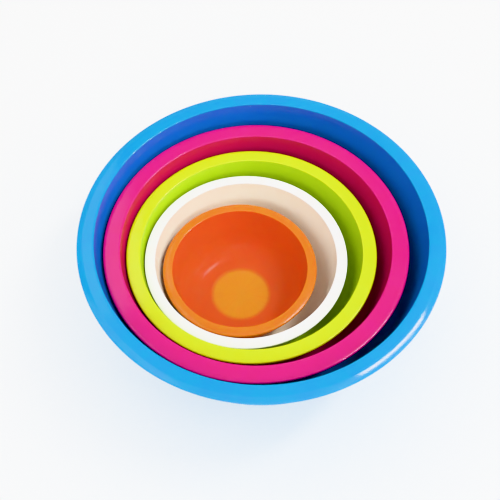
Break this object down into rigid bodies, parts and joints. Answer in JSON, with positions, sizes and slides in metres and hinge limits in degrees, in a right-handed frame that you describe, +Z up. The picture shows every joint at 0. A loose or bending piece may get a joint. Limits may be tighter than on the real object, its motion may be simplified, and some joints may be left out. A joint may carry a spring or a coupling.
{
  "type": "hair color mixing bowl set",
  "caption": "Nested set of round gloss plastic bowls with broad flat lips for mixing hair colour; each bowl lifts straight out of the larger one around it.",
  "frame": {"origin": "centre of the largest bowl's foot ring, on the surface that the set stands on", "axes": "+Z up, along every bowl's turning axis; the smaller bowls have slid off centre towards -X and -Y"},
  "size_m": [0.282, 0.282, 0.111],
  "materials": {
    "blue_plastic": "glossy injection-moulded plastic",
    "magenta_plastic": "glossy injection-moulded plastic",
    "lime_plastic": "glossy injection-moulded plastic",
    "white_plastic": "glossy injection-moulded plastic",
    "orange_plastic": "glossy injection-moulded plastic"
  },
  "bodies": {
    "blue_bowl": {"blue_bowl": "blue_plastic"},
    "magenta_bowl": {"magenta_bowl": "magenta_plastic"},
    "lime_bowl": {"lime_bowl": "lime_plastic"},
    "white_bowl": {"white_bowl": "white_plastic"},
    "orange_bowl": {"orange_bowl": "orange_plastic"}
  },
  "joints": [
    {"name": "magenta_lift", "type": "slide", "parent": "blue_bowl", "child": "magenta_bowl", "axis": [0, 0, 1], "range_m": [0, 0.118]},
    {"name": "lime_lift", "type": "slide", "parent": "magenta_bowl", "child": "lime_bowl", "axis": [0, 0, 1], "range_m": [0, 0.113]},
    {"name": "white_lift", "type": "slide", "parent": "lime_bowl", "child": "white_bowl", "axis": [0, 0, 1], "range_m": [0, 0.108]},
    {"name": "orange_lift", "type": "slide", "parent": "white_bowl", "child": "orange_bowl", "axis": [0, 0, 1], "range_m": [0, 0.103]}
  ]
}
